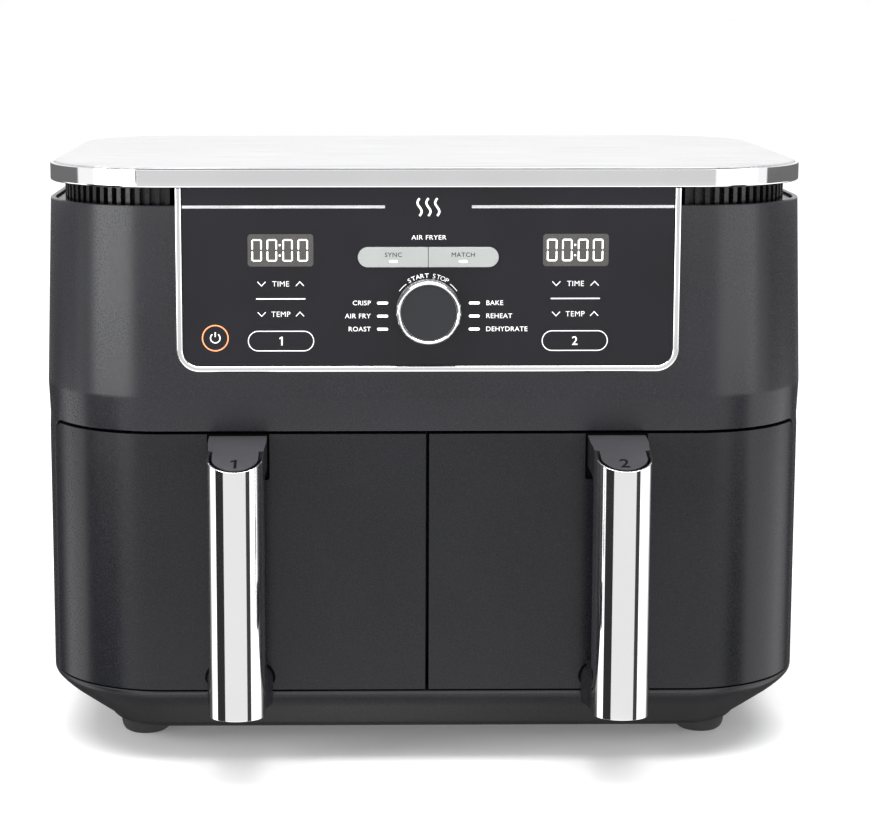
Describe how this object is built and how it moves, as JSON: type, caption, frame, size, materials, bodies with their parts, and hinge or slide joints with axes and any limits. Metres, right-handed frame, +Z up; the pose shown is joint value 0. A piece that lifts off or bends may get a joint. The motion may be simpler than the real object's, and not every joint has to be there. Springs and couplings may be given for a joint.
{
  "type": "dual-drawer air fryer",
  "caption": "Countertop air fryer with side-by-side pull-out drawers, loop handles, a brushed lid and a front panel with a dial.",
  "frame": {"origin": "on the worktop, under the middle of the overall box", "axes": "+X to the right seen from the front, +Y to the back, +Z up; the handles point along -Y"},
  "size_m": [0.415, 0.318, 0.322],
  "materials": {
    "shell_plastic": "fine satin texture, charcoal",
    "base_plastic": "satin black plastic",
    "foot_rubber": "soft matt",
    "screw_steel": "zinc plated",
    "lid_steel": "brushed along the width",
    "trim_chrome": "polished",
    "vent_plastic": "satin black plastic",
    "panel_film": "fine-grained dark film",
    "display_window": "smoked clear window",
    "digit_plastic": "white light guides",
    "circuit_board": "glass-fibre laminate",
    "shaft_steel": "ground",
    "encoder_metal": "pressed",
    "switch_plastic": "moulded",
    "dial_plastic": "fine satin",
    "key_plastic": "silver lacquer",
    "bracket_steel": "plain sheet",
    "cutout_ceramic": "plain",
    "liner_steel": "aluminised sheet",
    "heater_sheath": "dull oxide",
    "guard_steel": "plated wire",
    "motor_metal": "varnished laminations",
    "fan_aluminium": "pressed",
    "cooling_plastic": "moulded",
    "coated_metal": "ceramic-coated non-stick",
    "grip_plastic": "satin black",
    "pad_silicone": "silicone"
  },
  "bodies": {
    "housing": {"main_shell": "shell_plastic", "rear_cover": "shell_plastic", "base_tray": "base_plastic", "top_deck": "base_plastic", "foot_front_left": "foot_rubber", "foot_front_right": "foot_rubber", "foot_rear_left": "foot_rubber", "foot_rear_right": "foot_rubber", "cord_gland": "foot_rubber", "housing_screws": "screw_steel", "top_lid": "lid_steel", "lid_trim": "trim_chrome", "panel_bezel": "trim_chrome", "accent_strips": "trim_chrome", "vent_ring": "vent_plastic", "control_panel": "panel_film", "display_windows": "display_window", "digit_modules": "digit_plastic", "control_board": "circuit_board", "power_board": "circuit_board", "encoder_body": "encoder_metal", "panel_switches": "switch_plastic", "drawer_switches": "switch_plastic", "motor_brackets": "bracket_steel", "thermal_cutouts": "cutout_ceramic", "cavity_liner_left": "liner_steel", "heating_element_left": "heater_sheath", "fan_guard_left": "guard_steel", "motor_left": "motor_metal", "cavity_liner_right": "liner_steel", "heating_element_right": "heater_sheath", "fan_guard_right": "guard_steel", "motor_right": "motor_metal"},
    "drawer_left": {"drawer_front_left": "shell_plastic", "basket_left": "coated_metal", "grip_left": "grip_plastic", "grip_cover_left": "trim_chrome", "handle_screws_left": "screw_steel"},
    "plate_left": {"crisper_plate_left": "coated_metal", "plate_pads_left": "pad_silicone"},
    "fan_left": {"convection_fan_left": "fan_aluminium", "motor_shaft_left": "shaft_steel", "cooling_fan_left": "cooling_plastic"},
    "drawer_right": {"drawer_front_right": "shell_plastic", "basket_right": "coated_metal", "grip_right": "grip_plastic", "grip_cover_right": "trim_chrome", "handle_screws_right": "screw_steel"},
    "plate_right": {"crisper_plate_right": "coated_metal", "plate_pads_right": "pad_silicone"},
    "fan_right": {"convection_fan_right": "fan_aluminium", "motor_shaft_right": "shaft_steel", "cooling_fan_right": "cooling_plastic"},
    "plunger": {"dial_plunger": "shaft_steel"},
    "dial": {"dial_shaft": "shaft_steel", "dial_ring": "trim_chrome", "dial_cap": "dial_plastic"},
    "left_key": {"key_left": "key_plastic"},
    "right_key": {"key_right": "key_plastic"}
  },
  "joints": [
    {"name": "drawer_left_slide", "type": "slide", "parent": "housing", "child": "drawer_left", "axis": [0, -1, 0], "range_m": [0, 0.24]},
    {"name": "plate_left_lift", "type": "slide", "parent": "drawer_left", "child": "plate_left", "axis": [0, 0, 1], "range_m": [0, 0.1]},
    {"name": "fan_left_spin", "type": "hinge", "parent": "housing", "child": "fan_left", "pos_m": [-0.1, 0.038, 0.25], "axis": [0, 0, 1], "continuous": true},
    {"name": "drawer_right_slide", "type": "slide", "parent": "housing", "child": "drawer_right", "axis": [0, -1, 0], "range_m": [0, 0.24]},
    {"name": "plate_right_lift", "type": "slide", "parent": "drawer_right", "child": "plate_right", "axis": [0, 0, 1], "range_m": [0, 0.1]},
    {"name": "fan_right_spin", "type": "hinge", "parent": "housing", "child": "fan_right", "pos_m": [0.1, 0.038, 0.25], "axis": [0, 0, 1], "continuous": true},
    {"name": "dial_press", "type": "slide", "parent": "housing", "child": "plunger", "axis": [0, 1, 0], "range_m": [0, 0.0008], "stiffness_N_per_m": 2500, "springref_m": -0.0006},
    {"name": "dial_turn", "type": "hinge", "parent": "plunger", "child": "dial", "pos_m": [0, -0.111, 0.2468], "axis": [0, -1, 0], "continuous": true},
    {"name": "left_key_press", "type": "slide", "parent": "housing", "child": "left_key", "axis": [0, 1, 0], "range_m": [0, 0.0006], "stiffness_N_per_m": 2000, "springref_m": -0.0005},
    {"name": "right_key_press", "type": "slide", "parent": "housing", "child": "right_key", "axis": [0, 1, 0], "range_m": [0, 0.0006], "stiffness_N_per_m": 2000, "springref_m": -0.0005}
  ]
}
